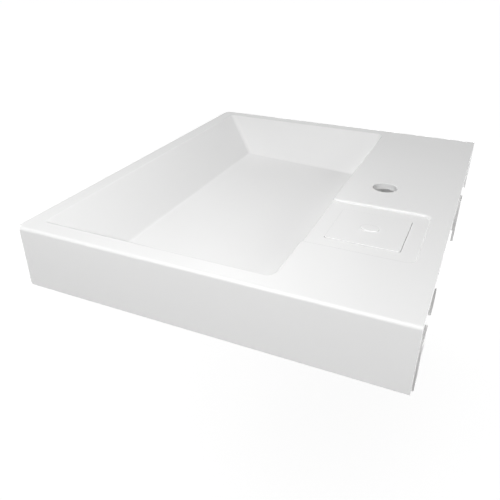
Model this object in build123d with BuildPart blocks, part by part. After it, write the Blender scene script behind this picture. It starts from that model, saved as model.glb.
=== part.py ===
from build123d import *
from math import atan2, hypot, sin, tan
import os

os.makedirs("parts", exist_ok=True)

# A washbasin that hangs over a washing machine: one shallow cast basin on two wall brackets, with
# its waste and trap behind the machine. Millimetres. X runs to the user's right, Y towards the
# wall and Z up. The origin is on the wall plane, midway across the basin, level with its underside.

# Basin casting
basin_width = 600.0
basin_depth = 500.0
basin_height = 85.0
wall = 9.5
rim_width = 25.0
deck_depth = 161.0
front_corner_radius = 12.0
top_edge_radius = 4.0
lip_radius = 2.5
foot_edge_radius = 1.5
rear_recess = 8.0

# Bowl: runs are the widths of the sloping walls in plan
bowl_side_run = 73.0
bowl_front_run = 72.0
bowl_front_depth = 49.0
bowl_back_depth = 60.0
bowl_back_draft = 3.0
valley_radius = 10.0

# Tap hole
tap_hole_radius = 17.5
tap_hole_from_recess = 137.0
tap_hole_from_wall = 103.0
tap_hole_edge_radius = 0.8

# Soap recess in the deck, open to the bowl
recess_from_side = 183.0
recess_width = 134.0
recess_from_wall = 27.0
recess_drop = 3.2
recess_corner_radius = 11.0
recess_mouth_radius = 5.0

# Lift-off soap plate over the opening to the waste
plate_width = 88.0
plate_length = 92.0
plate_thickness = 4.0
plate_proud = 1.3
plate_corner_radius = 3.0
plate_edge_radius = 0.6
plate_clearance = 0.5
plate_ledge = 7.0
pip_length = 24.0
pip_width = 17.0
pip_height = 1.7
pip_edge_radius = 1.2
lug_size = 9.0
lug_height = 5.0
lug_clearance = 0.6

# Sump under the deck, joined to the bowl by a throat
sump_width = 120.0
sump_from_wall = 35.0
sump_corner_radius = 14.0
sump_floor_radius = 6.0
throat_width = 104.0
throat_height = 32.0
throat_corner_radius = 8.0

# Waste seat in the sump floor
waste_hole_radius = 26.0
waste_seat_radius = 37.5
waste_seat_drop = 4.0
waste_pad_radius = 42.0

# Bearing ribs and wall brackets
rib_from_side = 95.0
rib_width = 30.0
rib_front_from_wall = 402.0
rib_back_from_wall = 52.0
rib_below_bowl = 1.5
pad_thickness = 2.0
pad_width = 26.0
arm_width = 30.0
arm_height = 11.0
arm_steel = 2.5
arm_tip_from_wall = 406.0
leg_width = 34.0
leg_steel = 4.0
leg_bottom = -66.0
leg_corner_radius = 6.0
anchor_hole_radius = 5.5
anchor_top = -12.0
anchor_bottom = -50.0
cheek_reach = 62.0
cheek_drop = 56.0
cheek_nose = 3.0
notch_clearance = 2.0

# Screws that hold the basin down on the brackets
screw_from_wall = 380.0
screw_radius = 3.0
screw_head_radius = 5.5
screw_head_height = 3.4
screw_socket_radius = 2.3
screw_socket_depth = 2.0
insert_radius = 4.5
insert_length = 10.0
washer_radius = 7.0
washer_thickness = 1.2
hole_play = 0.5
thread_play = 0.05

# Waste: grid, screw, body and seals
grid_seal_thickness = 1.5
grid_radius = 35.0
grid_steel = 1.2
grid_dish_radius = 21.0
grid_dish_drop = 3.0
grid_hole_radius = 2.4
grid_inner_ring = 8.5
grid_outer_ring = 15.5
grid_inner_holes = 6
grid_outer_holes = 12
lower_seal_thickness = 3.0
waste_flange_radius = 36.0
waste_flange_thickness = 3.0
waste_spigot_radius = 25.6
waste_spigot_below_seat = 3.0
waste_bore_radius = 21.0
waste_tail_radius = 24.0
waste_tail_length = 30.0
waste_web = 3.0
waste_web_height = 9.0
waste_hub_radius = 7.5
waste_nut_radius = 5.0
waste_nut_length = 9.0
waste_screw_head_radius = 5.6
waste_screw_head_height = 2.4
waste_slot_width = 1.6
waste_slot_depth = 1.2
waste_web_count = 3

# Trap pipes
pipe_radius = 20.0
pipe_wall = 2.0
union_gasket_thickness = 2.5
collar_thickness = 3.0
socket_radius = 24.0
socket_length = 22.0
socket_shoulder = 3.0
socket_play = 0.3
cone_seal_thickness = 5.0
inlet_drop = 63.0
bend_radius = 32.0
outlet_bend_radius = 30.0
outlet_gap_to_wall = 3.0
bend_lead = 10.0
end_gap = 2.0

# Hand nuts
nut_lip = 3.2
nut_skin = 4.0
nut_grip = 2.0
nut_depth = 26.0
nut_grips = 12
nut_play = 0.4

# Branch for the machine's drain hose
branch_radius = 12.0
branch_bore_radius = 9.0
branch_drop = 21.0
branch_reach = 38.0
branch_gasket_thickness = 2.0
hose_pipe_radius = 8.0
hose_bore_radius = 5.5
hose_bend_radius = 14.0
hose_collar_thickness = 2.5
hose_tail = 27.0
hose_barb_radius = 9.5
hose_barb_length = 6.0
hose_barb_pitch = 8.0
hose_barbs = 3
hose_play = 0.05
hose_nut_depth = 13.0
hose_nut_skin = 3.5

# Clean-out at the foot of the trap
boss_radius = 14.0
boss_bore_radius = 10.5
boss_length = 8.0
cap_skin = 3.2
cap_floor = 2.6
cap_depth = 9.0
cap_seal_thickness = 1.5
cap_grips = 10
cap_play = 0.4

# Levels and places worked out from the sizes above
recess_x = basin_width / 2 - recess_from_side
tap_hole_x = recess_x - tap_hole_from_recess
rib_x = basin_width / 2 - rib_from_side
half_rim = basin_width / 2 - rim_width
half_floor = half_rim - bowl_side_run
y_front_rim = rim_width - basin_depth
y_deck = -deck_depth
y_floor_front = y_front_rim + bowl_front_run
y_floor_back = y_deck - bowl_back_draft
floor_run = y_floor_back - y_floor_front
floor_fall = bowl_back_depth - bowl_front_depth
deck_under = basin_height - wall
recess_level = basin_height - recess_drop
sump_ceiling = recess_level - wall
sump_back = -sump_from_wall
sump_front = y_deck + wall
plate_bottom = recess_level + plate_proud - plate_thickness
waste_x = recess_x
waste_y = (sump_front + sump_back) / 2


def floor_level(y, drop=0.0):
    """Height of the bowl's sloping floor plane at y, or of a plane lower by drop."""
    return basin_height - bowl_front_depth - floor_fall * (y - y_floor_front) / floor_run - drop


waste_seat = floor_level(waste_y) - waste_seat_drop
waste_pad = waste_seat - wall
grid_level = waste_seat + grid_seal_thickness
dish_level = grid_level - grid_dish_drop
spigot_top = waste_seat - waste_spigot_below_seat
flange_top = waste_pad - lower_seal_thickness
flange_bottom = flange_top - waste_flange_thickness
tail_end = flange_bottom - waste_tail_length
collar_top = tail_end - union_gasket_thickness
collar_bottom = collar_top - collar_thickness
union_nut_bottom = collar_bottom - nut_play - nut_lip
branch_level = collar_top - branch_drop
inlet_end = collar_top - inlet_drop
socket_floor = inlet_end - end_gap
inlet_socket_top = socket_floor + socket_length
inlet_nut_top = inlet_socket_top + cone_seal_thickness + socket_play + nut_lip
bend_level = socket_floor - bend_lead
outlet_x = waste_x - 2 * bend_radius
outlet_socket_top = bend_level + socket_length
outlet_nut_top = outlet_socket_top + cone_seal_thickness + socket_play + nut_lip
outlet_level = outlet_nut_top + end_gap + outlet_bend_radius
trap_foot_x = waste_x - bend_radius
trap_foot = bend_level - bend_radius - pipe_radius
boss_end = trap_foot - boss_length
cap_top = boss_end - cap_seal_thickness + cap_depth
rib_level = floor_level(y_floor_back, wall) - rib_below_bowl
arm_top = rib_level - pad_thickness
arm_under_web = arm_top - arm_steel
arm_bottom = arm_top - arm_height
screw_head_top = arm_under_web - washer_thickness
rib_length = rib_front_from_wall - rib_back_from_wall
rib_middle = -(rib_front_from_wall + rib_back_from_wall) / 2
screw_spots = [(-rib_x, -screw_from_wall), (rib_x, -screw_from_wall)]
branch_mouth = waste_x + branch_reach
hose_start = branch_mouth + branch_gasket_thickness + hose_play
hose_nut_face = hose_start + hose_collar_thickness + nut_play + nut_lip
hose_tail_x = hose_nut_face + nut_play + hose_bend_radius
hose_end = branch_level - hose_bend_radius - hose_tail


def ring(place, inner_radius, outer_radius, thickness):
    """A flat ring that starts on a plane and grows along its normal."""
    with BuildPart() as part:
        with BuildSketch(place):
            Circle(outer_radius)
            Circle(inner_radius, mode=Mode.SUBTRACT)
        extrude(amount=thickness)
    return part.part


def rod(route, radius):
    """A round bar along a route of lines and arcs."""
    start = Plane(origin=route @ 0, z_dir=route % 0)
    with BuildPart() as part:
        with BuildSketch(start):
            Circle(radius)
        sweep(path=route)
    return part.part


def hand_nut(place, thread_radius, neck_radius, depth, skin):
    """A nut with a lip on the given plane and its wide bore beyond, ribbed outside for the hand."""
    outer_radius = thread_radius + nut_play + skin
    with BuildPart() as part:
        with BuildSketch(place):
            Circle(outer_radius)
            with PolarLocations(outer_radius, nut_grips):
                Circle(nut_grip)
        extrude(amount=depth)
        with BuildSketch(place):
            Circle(neck_radius + nut_play)
        extrude(amount=nut_lip, mode=Mode.SUBTRACT)
        with BuildSketch(place.offset(nut_lip)):
            Circle(thread_radius + nut_play)
        extrude(amount=depth - nut_lip, mode=Mode.SUBTRACT)
    return part.part


def cone_seal(place):
    """A tapered ring that the slip nut presses into the mouth of a socket."""
    inner_radius = pipe_radius + thread_play
    with BuildPart() as part:
        with BuildSketch(place):
            Circle(socket_radius)
            Circle(inner_radius, mode=Mode.SUBTRACT)
        extrude(amount=cone_seal_thickness)
        outer_edges = part.edges().filter_by(GeomType.CIRCLE).group_by(SortBy.RADIUS)[-1]
        chamfer(outer_edges.sort_by(Axis.Z)[-1], (socket_radius - inner_radius) / 2)
    return part.part


def finish(part, name):
    """Labels a finished piece and writes it under its own name."""
    part.label = name
    export_step(part, f"parts/{name}.step")


# Bowl space, down to a floor lowered by drop, with the rim and the floor outline grown for the
# outside of the casting
def bowl_body(rim_growth, foot_growth, drop, radius):
    """The hopper shape of the bowl: a rectangle at the rim lofted to one on the sloping floor."""
    front = y_floor_front - foot_growth
    back = y_floor_back + (wall + bowl_back_draft if drop else 0)
    rim_front = y_front_rim - rim_growth
    rim_back = y_deck + (wall if drop else 0)
    middle = (front + back) / 2
    floor_plane = Plane(
        origin=(0, middle, floor_level(middle, drop)), x_dir=(1, 0, 0), z_dir=(0, floor_fall, floor_run)
    )
    with BuildPart() as part:
        with BuildSketch(Plane.XY.offset(basin_height)):
            with Locations((0, (rim_front + rim_back) / 2)):
                Rectangle(2 * (half_rim + rim_growth), rim_back - rim_front)
        with BuildSketch(floor_plane):
            Rectangle(2 * (half_floor + foot_growth), hypot(back - front, floor_level(front) - floor_level(back)))
        loft(ruled=True)
        fillet(part.edges().filter_by(lambda e: e.center().Z < basin_height - 1), radius)
    return part.part


# Space along the sloping floor, between two places in Y and up to a level
def floor_space(front, back, width, top, drop=0.0):
    """A block under a level top whose foot follows the bowl's floor."""
    with BuildPart() as part:
        with BuildSketch(Plane.YZ.offset(recess_x)):
            with BuildLine():
                Polyline(
                    (front, floor_level(front, drop)), (back, floor_level(back, drop)), (back, top), (front, top),
                    close=True,
                )
            make_face()
        extrude(amount=width / 2, both=True)
    return part.part


side_angle = atan2(bowl_front_depth, bowl_side_run)
bowl_space = bowl_body(0, 0, 0, valley_radius)
bowl_outside = bowl_body(wall / sin(side_angle), wall * tan(side_angle / 2), wall, valley_radius)

with BuildPart() as sump_space:
    add(floor_space(sump_front, sump_back, sump_width, sump_ceiling))
    fillet(sump_space.edges().filter_by(Axis.Z).group_by(Axis.Y)[-1], sump_corner_radius)
    fillet(sump_space.faces().sort_by(Axis.Z)[0].edges(), sump_floor_radius)

with BuildPart() as throat_space:
    add(
        floor_space(
            y_floor_back - valley_radius - bowl_back_draft,
            sump_front + sump_floor_radius + 1,
            throat_width,
            floor_level(sump_front) + throat_height,
        )
    )
    throat_top = throat_space.faces().sort_by(Axis.Z)[-1]
    fillet(throat_top.edges().filter_by(Axis.Y), throat_corner_radius)

with BuildPart() as mouth_round:
    with BuildSketch(Plane.YZ.offset(recess_x)):
        with Locations((y_deck + lip_radius / 2 - bowl_back_draft / 2, recess_level - lip_radius / 2)):
            Rectangle(lip_radius + bowl_back_draft, lip_radius)
        with Locations((y_deck + lip_radius, recess_level - lip_radius)):
            Circle(lip_radius, mode=Mode.SUBTRACT)
    extrude(amount=recess_width / 2, both=True)

# Tap hole with its rounded edge, turned about its axis
with BuildPart() as tap_hole_space:
    tap_place = (tap_hole_x, -tap_hole_from_wall, basin_height)
    with BuildSketch(Plane(origin=tap_place, x_dir=(1, 0, 0), z_dir=(0, -1, 0))):
        with BuildLine():
            flare = RadiusArc(
                (tap_hole_radius, -tap_hole_edge_radius), (tap_hole_radius + tap_hole_edge_radius, 0),
                tap_hole_edge_radius,
            )
            Polyline(flare @ 0, (tap_hole_radius, -wall), (0, -wall), (0, 0), flare @ 1)
        make_face()
    revolve(axis=Axis(tap_place, (0, 0, 1)))

with BuildPart() as basin:
    with BuildSketch(Plane.XY):
        with Locations((0, -basin_depth / 2)):
            Rectangle(basin_width, basin_depth)
        fillet(vertices().group_by(Axis.Y)[0], front_corner_radius)
    extrude(amount=basin_height)
    fillet(basin.faces().sort_by(Axis.Z)[-1].edges().filter_by(lambda e: e.center().Y < -1), top_edge_radius)
    fillet(basin.faces().sort_by(Axis.Z)[0].edges().filter_by(lambda e: e.center().Y < -1), foot_edge_radius)
    # hollow underside
    with BuildSketch(Plane.XY):
        with Locations((0, -(basin_depth + rear_recess) / 2)):
            Rectangle(basin_width - 2 * wall, basin_depth - rear_recess - 2 * wall)
        fillet(vertices().group_by(Axis.Y)[0], front_corner_radius / 2)
    extrude(amount=deck_under, mode=Mode.SUBTRACT)
    # rear skirt set back from the wall, between the side walls and under the deck's edge
    with BuildSketch(Plane.XY):
        with Locations((0, -rear_recess / 2)):
            Rectangle(basin_width - 2 * wall, rear_recess)
    extrude(amount=deck_under, mode=Mode.SUBTRACT)
    # what stands in the hollow: bowl, sump, waste pad and bearing ribs
    add(bowl_outside)
    add(
        floor_space(
            y_deck, sump_back + wall, sump_width + 2 * wall, deck_under + wall / 2, drop=wall
        )
    )
    with BuildSketch(Plane.XY.offset(waste_pad)):
        with Locations((waste_x, waste_y)):
            Circle(waste_pad_radius)
    extrude(amount=wall)
    with BuildSketch(Plane.XY.offset(rib_level)):
        with Locations((-rib_x, rib_middle), (rib_x, rib_middle)):
            Rectangle(rib_width, rib_length)
    extrude(amount=deck_under + wall / 2 - rib_level)
    # bowl and soap recess, then the rounded lip that runs round both
    add(bowl_space, mode=Mode.SUBTRACT)
    with BuildSketch(Plane.XY.offset(recess_level)):
        with Locations((recess_x, (y_deck - recess_from_wall) / 2 - recess_mouth_radius / 2)):
            Rectangle(recess_width, deck_depth - recess_from_wall + recess_mouth_radius)
        fillet(vertices().group_by(Axis.Y)[-1], recess_corner_radius)
    extrude(amount=recess_drop, mode=Mode.SUBTRACT)
    mouth_corners = [
        Vector(recess_x + side * recess_width / 2, y_deck, recess_level + recess_drop / 2) for side in (-1, 1)
    ]
    fillet(
        basin.edges().filter_by(lambda e: min((e.center() - c).length for c in mouth_corners) < recess_drop / 2),
        recess_mouth_radius,
    )
    deck_face = basin.faces().filter_by(Axis.Z).sort_by(Axis.Z)[-1]
    fillet(deck_face.inner_wires()[0].edges(), lip_radius)
    add(mouth_round.part, mode=Mode.SUBTRACT)
    # sump, throat, opening under the plate and its seat
    add(sump_space.part, mode=Mode.SUBTRACT)
    add(throat_space.part, mode=Mode.SUBTRACT)
    with BuildSketch(Plane.XY.offset(plate_bottom)):
        with Locations((waste_x, waste_y)):
            RectangleRounded(
                plate_width + 2 * plate_clearance,
                plate_length + 2 * plate_clearance,
                plate_corner_radius + plate_clearance,
            )
    extrude(amount=recess_level - plate_bottom, mode=Mode.SUBTRACT)
    with BuildSketch(Plane.XY.offset(sump_ceiling)):
        with Locations((waste_x, waste_y)):
            RectangleRounded(
                plate_width - 2 * plate_ledge, plate_length - 2 * plate_ledge, plate_corner_radius
            )
    extrude(amount=plate_bottom - sump_ceiling, mode=Mode.SUBTRACT)
    # waste seat and hole, tap hole
    with BuildSketch(Plane.XY.offset(waste_seat)):
        with Locations((waste_x, waste_y)):
            Circle(waste_seat_radius)
    extrude(amount=wall, mode=Mode.SUBTRACT)
    with BuildSketch(Plane.XY.offset(waste_pad)):
        with Locations((waste_x, waste_y)):
            Circle(waste_hole_radius)
    extrude(amount=wall, mode=Mode.SUBTRACT)
    add(tap_hole_space.part, mode=Mode.SUBTRACT)
    # notches for the brackets in the rear skirt, and holes for the threaded inserts
    with BuildSketch(Plane.XZ.offset(rear_recess)):
        with Locations((-rib_x, arm_top / 2), (rib_x, arm_top / 2)):
            Rectangle(arm_width + 2 * notch_clearance, arm_top + 2 * notch_clearance)
    extrude(amount=wall, mode=Mode.SUBTRACT)
    with BuildSketch(Plane.XY.offset(rib_level)):
        with Locations(*screw_spots):
            Circle(insert_radius + thread_play)
    extrude(amount=insert_length, mode=Mode.SUBTRACT)
finish(basin.part, "basin_shell")

# Soap plate: a thin plate with an oval pip on top and four locating lugs beneath
with BuildPart() as soap_plate:
    with BuildSketch(Plane.XY.offset(plate_bottom)):
        with Locations((waste_x, waste_y)):
            RectangleRounded(plate_width, plate_length, plate_corner_radius)
    extrude(amount=plate_thickness)
    fillet(soap_plate.faces().sort_by(Axis.Z)[-1].edges(), plate_edge_radius)
    with BuildSketch(Plane.XY.offset(plate_bottom + plate_thickness)):
        with Locations((waste_x, waste_y)):
            Ellipse(pip_width / 2, pip_length / 2)
    extrude(amount=pip_height)
    fillet(soap_plate.faces().sort_by(Axis.Z)[-1].edges(), pip_edge_radius)
    with BuildSketch(Plane.XY.offset(plate_bottom)):
        with Locations((waste_x, waste_y)):
            with GridLocations(
                plate_width - 2 * plate_ledge - lug_size - 2 * lug_clearance,
                plate_length - 2 * plate_ledge - lug_size - 2 * lug_clearance,
                2, 2,
            ):
                RectangleRounded(lug_size, lug_size, plate_corner_radius)
    extrude(amount=-lug_height)
finish(soap_plate.part, "soap_plate")


def on_waste(level):
    """Plane across the axis of the waste at a level, facing up."""
    return Plane(origin=(waste_x, waste_y, level))


# Waste: a grid in the sump floor, drawn down by one screw on a body that hangs beneath it
grid_seal = ring(on_waste(waste_seat), waste_hole_radius, grid_radius - 1, grid_seal_thickness)
finish(grid_seal, "grid_seal")

with BuildPart() as waste_grid:
    with BuildSketch(Plane(origin=(waste_x, waste_y, grid_level), x_dir=(1, 0, 0), z_dir=(0, -1, 0))):
        with BuildLine():
            Polyline(
                (0, -grid_dish_drop), (grid_dish_radius - grid_dish_drop, -grid_dish_drop),
                (grid_dish_radius, 0), (grid_radius, 0),
                (grid_radius, grid_steel), (grid_dish_radius, grid_steel),
                (grid_dish_radius - grid_dish_drop, grid_steel - grid_dish_drop),
                (0, grid_steel - grid_dish_drop),
                close=True,
            )
        make_face()
    revolve(axis=Axis((waste_x, waste_y, 0), (0, 0, 1)))
    with BuildSketch(on_waste(dish_level)):
        Circle(screw_radius + hole_play)
        with PolarLocations(grid_inner_ring, grid_inner_holes):
            Circle(grid_hole_radius)
        with PolarLocations(grid_outer_ring, grid_outer_holes):
            Circle(grid_hole_radius)
    extrude(amount=grid_steel, mode=Mode.SUBTRACT)
finish(waste_grid.part, "waste_grid")

with BuildPart() as waste_screw:
    with BuildSketch(on_waste(dish_level + grid_steel)):
        Circle(waste_screw_head_radius)
    extrude(amount=waste_screw_head_height)
    fillet(waste_screw.faces().sort_by(Axis.Z)[-1].edges(), waste_screw_head_height / 3)
    with BuildSketch(on_waste(dish_level + grid_steel + waste_screw_head_height - waste_slot_depth)):
        Rectangle(2 * waste_screw_head_radius, waste_slot_width)
    extrude(amount=waste_slot_depth, mode=Mode.SUBTRACT)
    with BuildSketch(on_waste(spigot_top - waste_web_height - end_gap)):
        Circle(screw_radius)
    extrude(until=Until.NEXT)
finish(waste_screw.part, "waste_screw")

with BuildPart() as waste_body:
    with BuildSketch(on_waste(tail_end)):
        Circle(waste_tail_radius)
    extrude(amount=waste_tail_length)
    with BuildSketch(on_waste(flange_bottom)):
        Circle(waste_flange_radius)
    extrude(amount=waste_flange_thickness)
    with BuildSketch(on_waste(flange_top)):
        Circle(waste_spigot_radius)
    extrude(amount=spigot_top - flange_top)
    with BuildSketch(on_waste(tail_end)):
        Circle(waste_bore_radius)
    extrude(amount=spigot_top - tail_end, mode=Mode.SUBTRACT)
    with BuildSketch(on_waste(spigot_top - waste_web_height)):
        Circle(waste_hub_radius)
        with PolarLocations((waste_hub_radius + waste_bore_radius) / 2, waste_web_count):
            Rectangle(waste_bore_radius - waste_hub_radius + waste_web, waste_web)
        Circle(waste_nut_radius + thread_play, mode=Mode.SUBTRACT)
    extrude(amount=waste_web_height)
finish(waste_body.part, "waste_body")

waste_nut = ring(
    on_waste(spigot_top - waste_nut_length), screw_radius + thread_play, waste_nut_radius, waste_nut_length
)
finish(waste_nut, "waste_nut")

waste_lower_seal = ring(on_waste(flange_top), waste_hole_radius, grid_radius, lower_seal_thickness)
finish(waste_lower_seal, "waste_lower_seal")

waste_union_nut = hand_nut(on_waste(union_nut_bottom), waste_tail_radius, pipe_radius, nut_depth, nut_skin)
finish(waste_union_nut, "waste_union_nut")

union_gasket = ring(on_waste(collar_top), pipe_radius, waste_tail_radius, union_gasket_thickness)
finish(union_gasket, "union_gasket")

# Inlet pipe: hangs in the union nut and carries the branch for the machine's drain hose
branch_plane = Plane(origin=(waste_x, waste_y, branch_level), z_dir=(1, 0, 0))

with BuildPart() as inlet_pipe:
    with BuildSketch(on_waste(inlet_end)):
        Circle(pipe_radius)
    extrude(amount=inlet_drop)
    with BuildSketch(on_waste(collar_bottom)):
        Circle(waste_tail_radius)
    extrude(amount=collar_thickness)
    with BuildSketch(branch_plane):
        Circle(branch_radius)
    extrude(amount=branch_reach)
    with BuildSketch(on_waste(inlet_end)):
        Circle(pipe_radius - pipe_wall)
    extrude(amount=inlet_drop, mode=Mode.SUBTRACT)
    with BuildSketch(branch_plane):
        Circle(branch_bore_radius)
    extrude(amount=branch_reach, mode=Mode.SUBTRACT)
finish(inlet_pipe.part, "inlet_pipe")

branch_gasket = ring(
    branch_plane.offset(branch_reach), branch_bore_radius, branch_radius, branch_gasket_thickness
)
finish(branch_gasket, "branch_gasket")

# Hose elbow: swivels in its nut, with barbs for the hose
trap_plane = Plane(origin=(0, waste_y, 0), x_dir=(1, 0, 0), z_dir=(0, -1, 0))

with BuildLine(trap_plane) as hose_route:
    FilletPolyline(
        (hose_start, branch_level), (hose_tail_x, branch_level), (hose_tail_x, hose_end),
        radius=hose_bend_radius,
    )

with BuildPart() as hose_elbow:
    add(rod(hose_route.wires()[0], hose_pipe_radius))
    with BuildSketch(branch_plane.offset(hose_start - waste_x)):
        Circle(branch_radius)
    extrude(amount=hose_collar_thickness)
    for barb in range(hose_barbs):
        with Locations((hose_tail_x, waste_y, hose_end + barb * hose_barb_pitch)):
            Cone(
                hose_pipe_radius, hose_barb_radius, hose_barb_length,
                align=(Align.CENTER, Align.CENTER, Align.MIN),
            )
    add(rod(hose_route.wires()[0], hose_bore_radius), mode=Mode.SUBTRACT)
finish(hose_elbow.part, "hose_elbow")

hose_nut = hand_nut(
    Plane(origin=(hose_nut_face, waste_y, branch_level), z_dir=(-1, 0, 0)),
    branch_radius, hose_pipe_radius, hose_nut_depth, hose_nut_skin,
)
finish(hose_nut, "hose_nut")

# Trap: a bend between two slip joints, with a boss at its foot for the clean-out
with BuildLine(trap_plane) as trap_route:
    Line((waste_x, socket_floor), (waste_x, bend_level))
    ThreePointArc(
        (waste_x, bend_level), (trap_foot_x, bend_level - bend_radius), (outlet_x, bend_level)
    )

with BuildPart() as trap_bend:
    add(rod(trap_route.wires()[0], pipe_radius))
    for x, floor in ((waste_x, socket_floor), (outlet_x, bend_level)):
        with BuildSketch(Plane(origin=(x, waste_y, floor - socket_shoulder))):
            Circle(socket_radius)
        extrude(amount=socket_length + socket_shoulder)
    with BuildSketch(Plane(origin=(trap_foot_x, waste_y, boss_end))):
        Circle(boss_radius)
    extrude(amount=boss_length + pipe_radius)
    add(rod(trap_route.wires()[0], pipe_radius - pipe_wall), mode=Mode.SUBTRACT)
    for x, floor in ((waste_x, socket_floor), (outlet_x, bend_level)):
        with BuildSketch(Plane(origin=(x, waste_y, floor))):
            Circle(pipe_radius + socket_play)
        extrude(amount=socket_length, mode=Mode.SUBTRACT)
    with BuildSketch(Plane(origin=(trap_foot_x, waste_y, boss_end))):
        Circle(boss_bore_radius)
    extrude(amount=boss_length + pipe_radius, mode=Mode.SUBTRACT)
finish(trap_bend.part, "trap_bend")

for side, x, socket_top, nut_top in (
    ("inlet", waste_x, inlet_socket_top, inlet_nut_top),
    ("outlet", outlet_x, outlet_socket_top, outlet_nut_top),
):
    slip_nut = hand_nut(
        Plane(origin=(x, waste_y, nut_top), z_dir=(0, 0, -1)), socket_radius, pipe_radius, nut_depth, nut_skin
    )
    finish(slip_nut, f"{side}_slip_nut")
    finish(cone_seal(Plane(origin=(x, waste_y, socket_top))), f"{side}_cone_seal")

with BuildLine(Plane.YZ.offset(outlet_x)) as outlet_route:
    FilletPolyline(
        (waste_y, bend_level + end_gap), (waste_y, outlet_level), (-outlet_gap_to_wall, outlet_level),
        radius=outlet_bend_radius,
    )

with BuildPart() as outlet_pipe:
    add(rod(outlet_route.wires()[0], pipe_radius))
    add(rod(outlet_route.wires()[0], pipe_radius - pipe_wall), mode=Mode.SUBTRACT)
finish(outlet_pipe.part, "outlet_pipe")

# Clean-out: a ribbed cap that screws on the boss, with its flat seal
cleanout_seal = ring(
    Plane(origin=(trap_foot_x, waste_y, boss_end - cap_seal_thickness)),
    boss_bore_radius, boss_radius, cap_seal_thickness,
)
finish(cleanout_seal, "cleanout_seal")

with BuildPart() as cleanout_cap:
    with BuildSketch(Plane(origin=(trap_foot_x, waste_y, boss_end - cap_seal_thickness - cap_floor))):
        Circle(boss_radius + cap_play + cap_skin)
        with PolarLocations(boss_radius + cap_play + cap_skin, cap_grips):
            Circle(nut_grip)
    extrude(amount=cap_floor + cap_depth)
    with BuildSketch(Plane(origin=(trap_foot_x, waste_y, boss_end - cap_seal_thickness))):
        Circle(boss_radius + cap_play)
    extrude(amount=cap_depth, mode=Mode.SUBTRACT)
finish(cleanout_cap.part, "cleanout_cap")


# Wall brackets: a channel arm under each rib, deeper at the wall, on a leg with two anchor holes
def bracket(x):
    """One bracket, with its arm centred on x."""
    with BuildPart() as part:
        with BuildSketch(Plane.XZ):
            with Locations((x, (arm_top + leg_bottom) / 2)):
                RectangleRounded(leg_width, arm_top - leg_bottom, leg_corner_radius)
            with Locations((x, anchor_top), (x, anchor_bottom)):
                Circle(anchor_hole_radius, mode=Mode.SUBTRACT)
        extrude(amount=leg_steel)
        with BuildSketch(Plane.XY.offset(arm_under_web)):
            with Locations((x, -arm_tip_from_wall / 2)):
                Rectangle(arm_width, arm_tip_from_wall)
            with Locations((x, -screw_from_wall)):
                Circle(screw_radius + hole_play, mode=Mode.SUBTRACT)
        extrude(amount=arm_steel)
        for inner_face in (x - arm_width / 2, x + arm_width / 2 - arm_steel):
            with BuildSketch(Plane.YZ.offset(inner_face)):
                with BuildLine():
                    Polyline(
                        (0, arm_top), (0, arm_top - cheek_drop), (-leg_steel - cheek_nose, arm_top - cheek_drop),
                        (-cheek_reach, arm_bottom), (-arm_tip_from_wall, arm_bottom),
                        (-arm_tip_from_wall, arm_top),
                        close=True,
                    )
                make_face()
            extrude(amount=arm_steel)
    return part.part


def bracket_pad(x):
    """The rubber strip between one arm and its rib."""
    with BuildPart() as part:
        with BuildSketch(Plane.XY.offset(arm_top)):
            with Locations((x, rib_middle)):
                Rectangle(pad_width, rib_length)
            with Locations((x, -screw_from_wall)):
                Circle(screw_radius + hole_play, mode=Mode.SUBTRACT)
        extrude(amount=pad_thickness)
    return part.part


for side, x in (("left", -rib_x), ("right", rib_x)):
    finish(bracket(x), f"{side}_bracket")
    finish(bracket_pad(x), f"{side}_bracket_pad")

with BuildPart() as bracket_inserts:
    with BuildSketch(Plane.XY.offset(rib_level)):
        with Locations(*screw_spots):
            Circle(insert_radius)
            Circle(screw_radius + thread_play, mode=Mode.SUBTRACT)
    extrude(amount=insert_length)
finish(bracket_inserts.part, "bracket_inserts")

with BuildPart() as bracket_washers:
    with BuildSketch(Plane.XY.offset(screw_head_top)):
        with Locations(*screw_spots):
            Circle(washer_radius)
            Circle(screw_radius + hole_play / 2, mode=Mode.SUBTRACT)
    extrude(amount=washer_thickness)
finish(bracket_washers.part, "bracket_washers")

with BuildPart() as bracket_screws:
    with BuildSketch(Plane.XY.offset(screw_head_top)):
        with Locations(*screw_spots):
            Circle(screw_head_radius)
    extrude(amount=-screw_head_height)
    fillet(bracket_screws.faces().group_by(Axis.Z)[0].edges(), screw_head_height / 3)
    with BuildSketch(Plane.XY.offset(screw_head_top - screw_head_height)):
        with Locations(*screw_spots):
            RegularPolygon(screw_socket_radius, 6)
    extrude(amount=screw_socket_depth, mode=Mode.SUBTRACT)
    with BuildSketch(Plane.XY.offset(screw_head_top)):
        with Locations(*screw_spots):
            Circle(screw_radius)
    extrude(amount=rib_level + insert_length - 1 - screw_head_top)
finish(bracket_screws.part, "bracket_screws")
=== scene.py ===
"""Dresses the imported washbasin: finishes, small moulded and welded details, studio and camera."""

import logging
import math
from collections.abc import Sequence
from dataclasses import dataclass, field
from enum import Enum

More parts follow.
